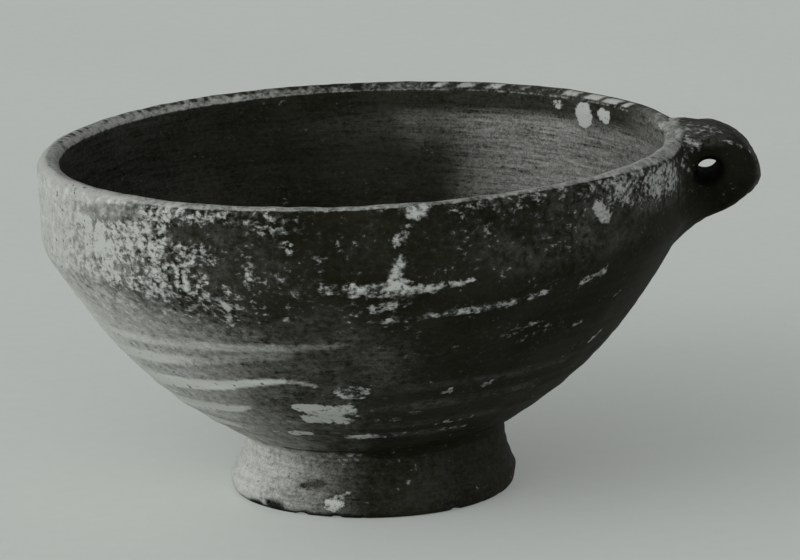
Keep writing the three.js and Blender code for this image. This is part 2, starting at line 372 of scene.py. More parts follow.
# Long pale streaks where the slip is thin, as lines of points: angle, height, half thickness, strength
FILM_STREAKS = [
    [(-212, 40, 1.4, 0.2), (-178, 40.4, 1.8, 0.9), (-150, 41, 1.6, 1), (-138, 41.5, 1.3, 0.88),
     (-120, 42.4, 1.1, 0.6), (-106, 43.1, 0.9, 0.36), (-94, 43.9, 0.7, 0.1)],
    [(-210, 33.4, 1.4, 0.2), (-166, 35, 1.8, 1.05), (-141, 36.9, 1.7, 1.1), (-134, 37.4, 1.4, 0.9),
     (-127, 38.2, 1.4, 0.55), (-113, 40.4, 1.1, 0.36), (-104, 41.4, 0.8, 0.12)],
    [(-210, 26.4, 1.6, 0.25), (-166, 28.6, 2, 1.15), (-142, 30.6, 1.7, 1.25), (-132, 31.5, 1.5, 1.25),
     (-123, 32.6, 1.2, 1.15), (-115, 33.9, 0.8, 1.1), (-108, 34.9, 0.5, 0.95)],
    [(-200, 21.6, 1, 0.2), (-162, 24.2, 1.8, 1.2), (-140, 24.8, 1.5, 1.2), (-126, 25.9, 1, 1.15),
     (-122, 26.7, 0.6, 0.8)],
    [(-196, 17.6, 1.2, 0.4), (-162, 19.4, 1.6, 1.15), (-142, 20.2, 1.3, 1.15), (-133, 19.4, 0.8, 0.7)],
    [(150, 38, 1.4, 0.3), (120, 38.6, 1.2, 0.2), (88, 39.2, 1, 0.08)],
    [(164, 27.6, 1.5, 0.36), (126, 28.8, 1.2, 0.24), (92, 29.6, 1, 0.09)],
    [(110, 20.6, 1.1, 0.16), (70, 21.4, 1.1, 0.22), (34, 21.8, 0.9, 0.08)],
    [(-214, 69.4, 1.2, 0.3), (-178, 69.6, 2.6, 0.9), (-150, 71.8, 1.5, 0.8), (-134, 73, 0.8, 0.66)],
]

# Shorter and fainter streaks: as the crust's strokes
FILM_STROKES = [
    (-107, 34.9, -101.5, 33.6, 0.4, 0.3, 0.6), (-92, 32.6, -40, 33.4, 0.9, 0.7, 0.03),
    (-92, 27.4, -44, 29, 1.1, 0.8, 0.035), (-90, 22.4, -52, 23.4, 0.8, 0.6, 0.045),
    (-98, 19.4, -60, 19.8, 0.6, 0.5, 0.06),
]

# Broad areas where the slip is a little thin: as the fields above
FILM_FIELDS = [
    (-134, 61, 20, 10, 0.045), (-118, 67.6, 10, 3.4, 0.045), (-112, 60, 14, 10, 0.012),
    (-56, 65, 18, 9, 0.025), (-86, 66, 14, 7, 0.008), (-100, 38, 22, 10, 0.05), (-40, 64, 13, 6, 0.021),
    (-30, 68.5, 16, 5, 0.05), (-19, 67, 11, 5, 0.035), (70, 50, 40, 14, 0.03),
]

# Pale spots with crisp edges inside the wall, near the lug
INSIDE_STROKES = [
    (40.1, 71, 39.9, 70.3, 2.45, 2.6, 2), (34.4, 71.5, 33, 71, 1.4, 1.5, 1.9),
    (47.6, 72.4, 46.4, 72.2, 1, 0.9, 1.1), (47.4, 56.8, 46.5, 56.5, 0.9, 0.8, 0.62),
    (38.2, 59.6, 37.4, 59.4, 0.8, 0.7, 0.56),
]

# Crust on the foot
FOOT_STROKES = [
    (-108, 2.6, -104.5, 3.4, 1.8, 1.6, 1.2), (-103, 4.8, -100.5, 5.3, 0.5, 0.4, 0.9),
    (-148, 12.2, -141, 12.4, 0.8, 0.6, 0.85), (-122, 11.6, -112, 11.7, 1.1, 1.5, 0.66),
    (-112, 11.7, -101, 11.9, 1.5, 1.1, 0.74), (-79, 6.6, -75.5, 6.9, 0.7, 0.7, 0.45),
    (-45, 3.6, -43, 3.8, 0.6, 0.6, 0.4),
]

# A dark bar where the slip is left on the foot, and dark chips along its lower edge
FOOT_BARS = [
    (-122, 6.2, -113, 6.7, 0.5, 0.8, 0.75),
]
FOOT_CHIPS = [
    (-178, 0.3, -150, 0.3, 0.5, 0.7, 0.7), (-150, 0.5, -144, 0.8, 0.9, 1, 0.95),
    (-138, 1.6, -132, 1.4, 1, 1.3, 0.95), (-144, 0.3, -120, 0.3, 0.6, 0.7, 0.9),
    (-120, 0.4, -96, 0.5, 0.7, 0.8, 0.6),
]


def strokes(angle, z, radius, marks, softness=0.55):
    """Strength of tapered strokes on the unrolled surface."""
    best = np.zeros(np.broadcast(angle, z).shape)
    for a0, z0, a1, z1, half0, half1, *strength in marks:
        millimetres = math.pi / 180 * float(np.interp((z0 + z1) / 2, *radius))
        along = turn_apart(angle, a0) * millimetres
        length = turn_apart(a1, a0) * millimetres
        climb = z1 - z0
        span = max(length * length + climb * climb, 1e-6)
        t = np.clip((along * length + (z - z0) * climb) / span, 0, 1)
        far = np.hypot(along - t * length, z - z0 - t * climb)
        reach = far / (half0 + (half1 - half0) * t)
        level = strength[0] + (strength[-1] - strength[0]) * t
        best = np.maximum(best, level * fall(1 - softness, 1 + softness, reach))
    return best


def streak_strokes(streaks):
    """Strokes from each point of a streak to the next."""
    marks = []
    for points in streaks:
        for (a0, z0, half0, strong0), (a1, z1, half1, strong1) in zip(points, points[1:]):
            marks.append((a0, z0, a1, z1, half0, half1, strong0, strong1))
    return marks


def fields(angle, z, areas):
    """Density of broad soft areas, added up where they meet."""
    left = np.ones(np.broadcast(angle, z).shape)
    for a0, z0, half_angle, half_height, density in areas:
        reach = np.hypot(turn_apart(angle, a0) / half_angle, (z - z0) / half_height)
        left = left * (1 - density * fall(0.45, 1.25, reach))
    return 1 - left


# Radii by height: heights, then the radius at each
OUTER = outer_line(400)
OUTSIDE_RADIUS = OUTER[:, ::-1].T
INSIDE_RADIUS = inner_line(200)[::-1, ::-1].T
FOOT_ROUND = ([0, FOOT_TOP], [FOOT_RADIUS, FOOT_NECK])
FILM_LINES = streak_strokes(FILM_STREAKS)


def front_side(angle):
    """1 on the front, less on the back, with the change at the left."""
    return 0.6 + 0.4 * ramp(-55, 0, turn_apart(angle, 180))


def outside_marks(angle, z):
    """Crust and film outside, on a ground that pales towards the left: partly a pale film, partly
    painted light on the side that faces the lamp.
    """
    crust = np.maximum(
        strokes(angle, z, OUTSIDE_RADIUS, CRUST_STROKES),
        fields(angle, z, CRUST_FIELDS) * (1 - fields(angle, z, CRUST_GAPS)),
    )
    crust = crust + 0.14 * ramp(0.78, 0.98, crust)
    crust = np.maximum(crust, 0.10 + 0.03 * ramp(54, 60, z))
    turn = turn_apart(angle, 0)
    away = np.abs(turn)
    side = front_side(angle)
    # painted light, in part: the paler ground towards the left stands for a pale film and for the lamp's
    # light on that side
    low = 0.06 * ramp(84, 98, away) + 0.52 * ramp(104, 140, away)
    low = low + 0.52 * ramp(134, 172, away)
    low = side * low * (0.96 + 0.04 * ramp(26, 36, z))
    high = side * 0.80 * ramp(116, 164, away)
    ground = low + (high - low) * ramp(44, 56, z)
    # paler film and crust over the back: partly painted fill light where the room's light is dim
    back = ramp(-4, 26, turn) * fall(140, 176, turn)
    ground = np.maximum(ground, 0.060 * back)
    crust = np.maximum(crust, 0.24 * back)
    film = np.maximum(ground, fields(angle, z, FILM_FIELDS))
    film = np.maximum(film, strokes(angle, z, OUTSIDE_RADIUS, FILM_STROKES, 0.8))
    film = np.maximum(film, strokes(angle, z, OUTSIDE_RADIUS, FILM_LINES, 0.55))
    return crust, film


# The lip: how pale it is all round, and where the pale band starts across it, both by angle
LIP_PALENESS = [
    (-180, 0.62), (-150, 0.6), (-128, 0.64), (-112, 0.64), (-98, 0.56), (-60, 0.54), (-42, 0.63),
    (-28, 0.66), (-10, 0.56), (8, 0.34), (22, 0.28), (70, 0.26), (95, 0.3), (108, 0.46), (125, 0.55),
    (150, 0.6), (180, 0.62),
]
LIP_START = [
    (-180, 0.02), (-160, 0.07), (-146, 0.15), (-124, 0.16), (-108, 0.23), (-60, 0.26), (-44, 0.25),
    (-20, 0.06), (0, 0.18), (30, 0.28), (110, 0.28), (150, 0.16), (180, 0.02),
]
# Pale blocks left on the lip, as the angles where each starts and ends, and how they slant across it
LIP_BLOCKS = [
    (75.4, 73), (70.6, 66.2), (63.9, 60.6), (56.4, 54.9), (46, 41.8), (40, 35.6), (34.4, 29.2),
    (28, 25.2),
]
LIP_SLANT = 5.2
# The lip's mark away from the lip, too low for noise to bring up
LIP_OFF = -0.6


def lip_marks(angle, over):
    """Paleness of the lip, and where it is worn; over runs from 0 outside to 1 inside."""
    turn = turn_apart(angle, 0)
    level = np.interp(turn, *np.array(LIP_PALENESS).T)
    start = np.interp(turn, *np.array(LIP_START).T)
    a = np.radians(turn)
    ring = np.stack([np.cos(a) * RIM_RADIUS, np.sin(a) * RIM_RADIUS], -1)
    back = ramp(60, 120, turn) * fall(163, 180, turn)
    by_lug = ramp(-6, 6, turn) * fall(32, 46, turn)
    dashes = np.clip(waves(ring, 2.2, 51) - 0.1, 0, 1)
    outer_half = fall(0.62, 0.74, over)
    level = level - 0.55 * dashes * outer_half * back
    level = level - 0.40 * dashes * by_lug
    inner = np.exp(-((over - 0.91) / 0.05) ** 2)
    inner = inner * ramp(0, 20, turn) * fall(100, 125, turn)
    level = level + 0.18 * inner
    level = level + 0.05 * (1 - outer_half) * ramp(100, 130, turn) * back
    leaned = turn - LIP_SLANT * (over - 0.64)
    across = ramp(0.46, 0.58, over) * fall(0.74, 0.86, over)
    for first, last in LIP_BLOCKS:
        middle = (first + last) / 2
        half = (first - last) / 2
        block = fall(half - 0.8, half + 0.5, np.abs(leaned - middle))
        strength = np.interp(middle, [38, 58], [0.84, 0.66])
        level = np.maximum(level, strength * block * across)
    on_lip = ramp(start - 0.08, start + 0.09, over) * fall(0.89, 0.99, over)
    return LIP_OFF + (level - LIP_OFF) * on_lip, on_lip


def inside_marks(angle, z, radius):
    """Crust and film inside, brushed round from the lug."""
    mark_z = climbed(angle, z, radius)
    crust = strokes(angle, mark_z, INSIDE_RADIUS, INSIDE_STROKES, 0.34)
    crust = np.maximum(crust, 0.02)
    shade = ramp(67.4, 71.0, mark_z) * ramp(8, 30, angle)
    uneven = 2.5 * waves(on_drum(angle, z, BOWL_DRUM), 16, 61)
    away = np.abs(angle) + uneven + 3 - 8 * ramp(50, 68, mark_z)
    near_side = angle < 0
    worn = fall(np.where(near_side, 35, 51), np.where(near_side, 105, 80), away)
    worn = worn * (0.72 + 0.28 * ramp(18, 48, away))
    band = 0.12 * ramp(57, 65, z) * ramp(56, 70, away)
    worn = worn + band * fall(70, 108, away)
    film = 0.008 + 0.325 * worn * (1 - 0.93 * shade)
    # painted light: a paler film on the left inside, where the wall lies in shade
    film = film + 0.04 * ramp(100, 150, away)
    film = 0.02 + (film - 0.02) * ramp(26, 50, z)
    return crust, film


def mark_set(crust, film, lip=LIP_OFF, painted_shade_and_chips=0.0, brush=0.5):
    """The marks that the material reads, for every point."""
    marks = {"crust": crust, "film": film, "lip": lip, "painted_shade_and_chips": painted_shade_and_chips, "brush": brush}
    return {key: values + 0 * film for key, values in marks.items()}


# Meshes


def in_scene(name, data):
    """A new object in the scene."""
    thing = bpy.data.objects.new(name, data)
    bpy.context.scene.collection.objects.link(thing)
    return thing


def mesh_piece(name, points, faces, marks):
    """A smooth mesh from points in millimetres about the cup's axis."""
    placed = points.copy()
    placed[:, 0] += AXIS_X
    mesh = bpy.data.meshes.new(name)
    mesh.from_pydata((placed * MM).tolist(), [], faces)
    mesh.polygons.foreach_set("use_smooth", [True] * len(mesh.polygons))
    for key, values in marks.items():
        attribute = mesh.attributes.new(key, "FLOAT", "POINT")
        attribute.data.foreach_set("value", np.ascontiguousarray(values, np.float32).ravel())
    mesh.update()
    return in_scene(name, mesh)


def turned_angles(columns):
    return (np.arange(columns) * 360 / columns - 180)[None, :]


def unrolled(line, columns):
    """Angle and height of each point of a turned surface."""
    angle = turned_angles(columns) + 0.0 * line[:, 0:1]
    return angle, line[:, 1:2] + 0.0 * angle


def turned_faces(rows, columns, closed):
    """Faces of a turned surface, closed if the last row meets the first."""
    row = np.arange(rows if closed else rows - 1)[:, None]
    column = np.arange(columns)[None, :]
    above = (row + 1) % rows
    beside = (column + 1) % columns
    quads = np.stack([
        row * columns + column,
        row * columns + beside,
        above * columns + beside,
        above * columns + column,
    ], -1)
    return quads.reshape(-1, 4).tolist()


def pointed_faces(rows, columns):
    """Faces of a turned surface with a point past each end."""
    first = np.arange(columns)
    last = (rows - 1) * columns + first
    point = np.full(columns, rows * columns)
    faces = turned_faces(rows, columns, False)
    faces += np.stack([point, np.roll(first, -1), first], 1).tolist()
    faces += np.stack([point + 1, last, np.roll(last, -1)], 1).tolist()
    return faces


def turned(line, offsets, closed):
    """A turned surface as rows of points, pushed out along its normals."""
    normals = normals_2d(line, closed)
    a = np.radians(turned_angles(offsets.shape[1]))
    radius = line[:, 0:1] + offsets * normals[:, 0:1]
    height = line[:, 1:2] + offsets * normals[:, 1:2]
    return np.stack([radius * np.cos(a), radius * np.sin(a), height + 0 * a], -1)


def bowl_line():
    """The bowl's section, from under its base to its floor, and the lip's ends in it."""
    outer = outer_line(BOWL_ROWS["outer"])
    base = curve([(0, BASE_Z), (BASE_RADIUS - BASE_ROUND, BASE_Z)], BOWL_ROWS["base"])
    corner = curve([base[-1], (BASE_RADIUS, BASE_Z), outer[1]], BOWL_ROWS["corner"])
    upright = curve([(RIM_RADIUS, UPRIGHT_Z), (RIM_RADIUS, RIM_HEIGHT - LIP)], BOWL_ROWS["upright"])
    lip = lip_line(BOWL_ROWS["lip"])
    wall = curve([(INNER_RADIUS, RIM_HEIGHT - LIP), (INNER_RADIUS, UPRIGHT_Z)], BOWL_ROWS["wall"])
    outside = joined(base, corner, outer[1:], upright)
    line = joined(outside, lip, wall, inner_line(BOWL_ROWS["inside"]))
    lip_start = len(outside) - 1
    return line, lip_start, lip_start + len(lip) - 1


def bowl_piece():
    line, lip_start, lip_end = bowl_line()
    radius = line[:, 0:1]
    row = np.arange(len(line))[:, None]
    angle, z = unrolled(line, COLUMNS)
    over = np.clip((row - lip_start) / (lip_end - lip_start), 0, 1) + 0.0 * angle
    lip, on_lip = lip_marks(angle, over)
    crust_out, film_out = outside_marks(angle, level_height(angle, z, radius))
    crust_in, film_in = inside_marks(angle, z, radius)
    outer_half = over < 0.5
    crust = np.where(outer_half, crust_out, crust_in)
    film = np.where(outer_half, film_out, film_in)
    brush = np.where(outer_half, 0.12 + 0.22 * fall(44, 54, z), 1.0)

    spots = on_drum(angle, z, BOWL_DRUM)
    offset = np.where(row <= lip_start, wheel_ridges(angle, z), 0)
    offset = np.where(row >= lip_end, inside_ridges(angle, z), offset)
    offset = offset + 0.05 * waves(spots, 9, 3) + 0.10 * ramp(0.45, 0.8, crust)
    offset = offset + on_lip * (0.07 * waves(spots, 14, 5) + 0.04 * waves(spots, 5, 6))
    fade = np.clip(radius / 25, 0, 1)
    points = turned(line, offset * fade, False)
    swing = out_of_round(angle, z) * fade
    points[..., 0] += swing * np.cos(np.radians(angle))
    points[..., 1] += swing * np.sin(np.radians(angle))
    points = off_true(points)

    def ends_last(values):
        return np.concatenate([values[1:-1].ravel(), values[0, :1], values[-1, :1]])

    ends = np.array([points[0].mean(0), points[-1].mean(0)])
    points = np.vstack([points[1:-1].reshape(-1, 3), ends])
    marks = mark_set(crust, film, lip, brush=brush)
    marks = {key: ends_last(values) for key, values in marks.items()}
    return mesh_piece("cup_bowl", points, pointed_faces(len(line) - 2, COLUMNS), marks)


def ring_piece(name, line, offset, marks):
    """A turned ring that nowhere goes below the ground."""
    points = turned(line, offset, True).reshape(-1, 3)
    points[:, 2] = np.maximum(points[:, 2], 0)
    return mesh_piece(name, off_true(points), turned_faces(*offset.shape, True), marks)


def foot_piece():
    rest_in, rest_out = FOOT_REST
    neck_in = FOOT_NECK - FOOT_NECK_WALL
    bottom = curve([(rest_in, 0), (rest_out, 0)], FOOT_ROWS["bottom"])
    heel = curve([(rest_out, 0), (FOOT_RADIUS, 0), (FOOT_RADIUS, FOOT_WIDEST_Z)], FOOT_ROWS["heel"])
    waist = curve([
        (FOOT_RADIUS, FOOT_WIDEST_Z),
        (FOOT_NECK, (FOOT_WIDEST_Z + FOOT_TOP) / 2),
        (FOOT_NECK, FOOT_TOP),
    ], FOOT_ROWS["waist"])
    top = curve([(FOOT_NECK, FOOT_TOP), (neck_in, FOOT_TOP)], FOOT_ROWS["top"])
    hollow = curve([(neck_in, FOOT_TOP), (rest_in, 0)], FOOT_ROWS["hollow"])
    line = joined(bottom, heel, waist, top, hollow)[:-1]
    radius = line[:, 0:1]
    angle, z = unrolled(line, FOOT_COLUMNS)
    spots = on_drum(angle, z, FOOT_DRUM)
    level = ramp(0, 2, z) * fall(FOOT_TOP - 1, FOOT_TOP, z)
    offset = level * (0.10 * waves(spots, 12, 21) + 0.05 * waves(spots, 4, 22))
    offset = offset + level * 0.06 * ripple(z + angle / 200, 2.6)
    outward = radius > rest_out - 0.01
    chipped = np.clip(waves(spots, 5, 23) - 0.9, 0, 1) * fall(0.6, 2.4, z)
    offset = offset - 0.5 * chipped * outward
    bulge = ramp(110, 170, np.abs(angle)) * fall(2, 9, z)
    offset = offset + 0.9 * bulge * outward

    # the foot pales towards the left: partly a pale film, partly painted light on the side that faces
    # the lamp, with painted shade to the right
    left = fall(18, 91, np.abs(turn_apart(angle, 180)))
    film = 0.012 + 0.77 * front_side(angle) * left
    film = film * ramp(0.2, 1.6, z)
    mark_z = climbed(angle, z, radius)
    film = film * (1 - strokes(angle, mark_z, FOOT_ROUND, FOOT_BARS))
    crust = np.maximum(strokes(angle, mark_z, FOOT_ROUND, FOOT_STROKES), 0.04 + 0.06 * level)
    painted_shade_and_chips = strokes(angle, z, FOOT_ROUND, FOOT_CHIPS)
    return ring_piece("cup_ring_foot", line, offset, mark_set(crust, film * (1 - painted_shade_and_chips), painted_shade_and_chips=painted_shade_and_chips))


def foot_luting_piece():
    """The clay between bowl and foot, smeared into the crease."""
    low = FOOT_TOP - FOOT_LUTING_DROP
    skin = curve([
        (FOOT_NECK + 0.05, low),
        (FOOT_NECK + 0.4, BASE_Z - 0.7),
        (FOOT_LUTING_REACH, np.interp(FOOT_LUTING_REACH, OUTER[:, 0], OUTER[:, 1]) - 0.05),
    ], FOOT_ROWS["luting"])
    inner = FOOT_NECK - FOOT_NECK_WALL + 0.4
    hidden = np.array([
        (FOOT_LUTING_REACH - 1.0, BASE_Z + 0.7),
        (inner, BASE_Z + 0.2),
        (inner, FOOT_TOP - 0.2),
        (FOOT_NECK - 0.8, low),
    ])
    line = np.vstack([skin, hidden])
    angle, z = unrolled(line, FOOT_COLUMNS)
    spots = on_drum(angle, z, LUTING_DRUM)
    shown = np.zeros((len(line), 1))
    shown[:len(skin), 0] = np.sin(np.linspace(0, math.pi, len(skin)))
    offset = shown * (0.14 * waves(spots, 7, 31) + 0.06 * waves(spots, 2.5, 32))
    # the same on the luting: partly pale film, partly painted light on the lit left side and against the
    # shade under the bowl
    left = fall(20, 92, np.abs(turn_apart(angle, 180)))
    crumbs = fall(6, 22, np.abs(turn_apart(angle, -112)))
    film = 0.72 * left * fall(FOOT_TOP - 0.6, BASE_Z, z)
    crust = 0.12 + 0.54 * crumbs * fall(FOOT_TOP - 0.4, BASE_Z, z)
    piece = ring_piece("cup_foot_luting", line, offset, mark_set(crust, film))
    piece.data.set_sharp_from_angle(angle=math.radians(50))
    return piece


def true_radius(points):
    """Distance from the leaning cup's own axis."""
    true = on_true(points)
    return np.hypot(true[..., 0], true[..., 1])


def wall_distance(points):
    """Signed distance to the bowl's wall, near enough high up."""
    true = on_true(points)
    radius = np.hypot(true[..., 0], true[..., 1])
    angle = around(true)
    z = true[..., 2]
    radius = radius - out_of_round(angle, z)
    steps = np.diff(OUTER, axis=0)
    slope = np.interp(z, OUTER[:-1, 1], steps[:, 0] / np.maximum(steps[:, 1], 1e-6))
    outside = radius - np.interp(z, *OUTSIDE_RADIUS) - wheel_ridges(angle, z)
    outside = outside / np.sqrt(1 + slope * slope)
    inside = INNER_RADIUS - radius
    lip = np.hypot(radius - RIM_RADIUS + LIP, z - RIM_HEIGHT + LIP) - LIP
    return np.where(z > RIM_HEIGHT - LIP, lip, np.maximum(outside, inside))


def polygon_distance(x, z, corners):
    """Signed distance to a closed outline in the plane, negative inside."""
    best = np.full(x.shape, 1e9)
    inside = np.zeros(x.shape, bool)
    for (ax, az), (bx, bz) in zip(corners, np.roll(corners, -1, axis=0)):
        dx = bx - ax
        dz = bz - az
        t = np.clip(((x - ax) * dx + (z - az) * dz) / (dx * dx + dz * dz), 0, 1)
        best = np.minimum(best, np.hypot(x - ax - t * dx, z - az - t * dz))
        crosses = (az > z) != (bz > z)
        inside ^= crosses & (x < ax + (z - az) / (dz if dz else 1e-9) * dx)
    return np.where(inside, -best, best)


def lug_outline():
    """Side view of the lug: flat top, round nose and slanting underside."""
    nose = np.radians(np.linspace(82, 4, 14))
    nose_round = 12.3
    centre = (LUG_NOSE - nose_round, LUG_TOP - nose_round + 0.1)
    arc = np.stack([centre[0] + nose_round * np.cos(nose), centre[1] + nose_round * np.sin(nose)], 1)
    under = even(curve([arc[-1], (LUG_NOSE - 0.3, 63.2), (77.5, 60.2), (66.0, 55.4)], 40), 12)
    back = np.array([[56.0, 50.5], [56.0, 72.6], [61.0, 74.0], [64.0, 75.5], [67.0, LUG_TOP - 0.1]])
    return np.vstack([arc, under[1:], back])


def smooth_min(a, b, reach):
    """The smaller of two distances, with a soft change between them."""
    h = np.clip(reach - np.abs(a - b), 0, None) / reach
    return np.minimum(a, b) - h * h * reach / 4


def lug_body(points):
    """Signed distance to the lug, not yet pierced and joined on."""
    x, y, z = np.moveaxis(points, -1, 0)
    crown_y, crown_half, crown_drop = LUG_CROWN
    upper = ramp(64, 72, z)
    crowned = z + upper * crown_drop * ((y - crown_y) / crown_half) ** 2
    side = polygon_distance(x, crowned, lug_outline())
    bend = LUG_NOSE - 10.5
    taper = np.clip((x - bend) / (LUG_NOSE - bend + 1.5), 0, 0.98)
    depth = np.abs(y) - LUG_HALF_WIDTH * np.sqrt(1 - taper * taper)
    edge = LUG_EDGE[0] + (LUG_EDGE[1] - LUG_EDGE[0]) * upper
    edge_side = np.maximum(side + edge, 0)
    edge_depth = np.maximum(depth + edge, 0)
    body = np.hypot(edge_side, edge_depth) + np.minimum(np.maximum(side, depth) + edge, 0) - edge
    dish_x = x - HOLE[0] - DISH_OFF[0]
    dish_y = np.abs(y) - DISH_ROUND - DISH_FACE
    dish_z = z - HOLE[1] - DISH_OFF[1]
    dish = np.sqrt(dish_x ** 2 + dish_y ** 2 + dish_z ** 2) - DISH_ROUND
    body = -smooth_min(-body, dish, 0.9)
    mouth = INNER_RADIUS + 0.3 - true_radius(points)
    body = -smooth_min(-body, -mouth, 1.2)
    for height, length, seed in ((0.10, 7, 41), (0.04, 3, 42), (0.03, 1.8, 43)):
        body = body + height * waves(points, length, seed)
    return body


def lug_and_wall(points, wall):
    """Signed distance to the wall and the pierced lug, flowing into each other."""
    x, y, z = np.moveaxis(points, -1, 0)
    below_lip = fall(68, 75, z)
    at_side = ramp(3, 9, np.abs(y)) * ramp(56, 64, z) * (1 - 0.5 * ramp(70, 75, z))
    fused = smooth_min(wall, lug_body(points), 2.2 + 1.8 * below_lip + 6.5 * at_side)
    outward = ramp(0.4, 2.4, true_radius(points) - INNER_RADIUS)
    fused = wall + (fused - wall) * outward
    lip_top = RIM_HEIGHT + RIM_RISE * x
    top = lip_top + (LUG_TOP + 0.1 - lip_top) * ramp(63, 68, x)
    fused = -smooth_min(-fused, top - z, 0.6)
    mouth = HOLE_RADIUS + (HOLE_MOUTH - HOLE_RADIUS) * ramp(6, 8.5, np.abs(y))
    hole = np.hypot((x - HOLE[0]) / HOLE_WIDEN, (z - HOLE[1]) * HOLE_WIDEN) - mouth
    return -smooth_min(-fused, hole, 1.0)


def surface_net(field, origin, step):
    """A closed mesh of quads where a field on a grid is nought."""
    inside = field < 0
    shape = np.array(field.shape) - 1
    corners = list(np.ndindex(2, 2, 2))
    unit = np.eye(3, dtype=int)

    def at(values, corner):
        i, j, k = corner
        return values[i:i + shape[0], j:j + shape[1], k:k + shape[2]]

    count = sum(at(inside, c).astype(int) for c in corners)
    active = (count > 0) & (count < 8)
    number = np.full(tuple(shape), -1)
    number[active] = np.arange(active.sum())
    total = np.zeros((active.sum(), 3))
    hits = np.zeros(active.sum())
    for a in corners:
        for axis in range(3):
            if a[axis]:
                continue
            fa = at(field, a)[active]
            fb = at(field, a + unit[axis])[active]
            cut = (fa < 0) != (fb < 0)
            t = np.where(cut, fa / np.where(cut, fa - fb, 1), 0)
            total += cut[:, None] * (np.array(a) + t[:, None] * unit[axis])
            hits += cut
    points = np.array(origin) + (np.argwhere(active) + total / hits[:, None]) * step
    faces = []
    for axis in range(3):
        step_u = unit[(axis + 1) % 3]
        step_v = unit[(axis + 2) % 3]
        low = [slice(1, -1)] * 3
        low[axis] = slice(0, -1)
        high = list(low)
        high[axis] = slice(1, None)
        here = inside[tuple(low)]
        there = inside[tuple(high)]
        for leaving in (True, False):
            cells = np.argwhere((here != there) & (here == leaving))
            ring = [cells, cells + step_u, cells + step_u + step_v, cells + step_v]
            if not leaving:
                ring = ring[::-1]
            faces.append(np.stack([number[tuple(c.T)] for c in ring], 1))
    return points, np.vstack(faces)


# Pale wear along the edge of the lug's top and nose, then crust by its root: place, reach and strength
LUG_MARKS = [
    (64.3, -13.4, 74.9, 2.2, 0.74), (66.5, -9.9, 75.2, 2, 0.8), (68.4, -9.2, 74.4, 2, 0.98),
    (67, -11, 73.6, 1.6, 0.64), (69.4, -7.4, 75.3, 1.7, 0.7), (71.3, -7.5, 75.1, 1.6, 0.66),
    (73.5, -7.9, 74.7, 1.5, 0.66), (75.6, -7.7, 74, 1.5, 0.72), (77.3, -6.9, 73.3, 1.4, 0.8),
    (79.5, -5.6, 71.6, 1.3, 0.6), (81.2, -4.4, 69.6, 1.2, 0.54), (82.6, -3, 67.4, 1.1, 0.5),
    (65.6, -13.4, 73, 2, 0.8), (65, -15.6, 71.6, 2.2, 0.66), (66, -12, 69.5, 2.6, 0.52),
    (68.6, -9.2, 70.8, 1, 0.6),
]


def flowing(points):
    return lug_and_wall(points, wall_distance(points))


def lug_normals(points):
    """Outward directions of the surface near points, and how far off it they are."""
    step = 0.05
    slopes = [flowing(points + axis * step) - flowing(points - axis * step) for axis in np.eye(3)]
    normals = np.stack(slopes, -1) / (2 * step)
    size = np.maximum(np.linalg.norm(normals, axis=1), 0.3)
    return normals / size[:, None], flowing(points) / size


def lug_marks(points):
    """Wall marks by the root, painted shade on the near face and in the hole, wear on top and nose, and
    film on the nose and far side that is partly painted fill light.
    """
    x, y, z = points.T
    angle = around(points)
    crust, film = outside_marks(angle, climbed(angle, np.minimum(z, RIM_HEIGHT), np.hypot(x, y)))
    crust = crust * fall(66, 70, x)
    for *place, far, strength in LUG_MARKS:
        near = np.linalg.norm(points - place, axis=1) / far
        crust = np.maximum(crust, strength * fall(0.3, 1.2, near))
    top = ramp(72.8, 75.4, z)
    root = fall(66, 78, x)
    film = np.maximum(film, (0.02 + 0.045 * root) * top)
    crust = np.maximum(crust, (0.38 + 0.12 * root) * top)
    beyond = true_radius(points) - RIM_RADIUS + LIP
    lip = LIP_OFF + (0.56 - LIP_OFF) * fall(1.0, 5.0, beyond) * ramp(72.4, 73.8, z)
    # painted shade: the cord hole and the lug's near face, which turn away from the lamp, are darkened
    painted_hole_shade = fall(HOLE_RADIUS, HOLE_RADIUS + 3, np.hypot(x - HOLE[0], z - HOLE[1]))
    far_side = ramp(-4, 4, y)
    nose = ramp(77, 82, x) * fall(3, 7, np.abs(y))
    # paler film and crust on the lug's far side and nose: partly painted fill light where these faces
    # turn from the lamp
    film = np.maximum(film, np.maximum(0.060 * far_side * ramp(64, 76, x), 0.070 * nose))
    crust = np.maximum(crust, 0.34 * nose)
    painted_face_shade = 0.45 * ramp(66, 73, x) * (1 - far_side) * (1 - nose)
    painted_shade_and_chips = np.maximum(painted_face_shade, 0.9 * painted_hole_shade) * (1 - top)
    return mark_set(crust, film, lip, painted_shade_and_chips, 0.2)


def capped(piece):
    """Closes the edge left by parting."""
    shape = bmesh.new()
    shape.from_mesh(piece.data)
    loose = [edge for edge in shape.edges if edge.is_boundary]
    bmesh.ops.holes_fill(shape, edges=loose, sides=0)
    shape.to_mesh(piece.data)
    shape.free()


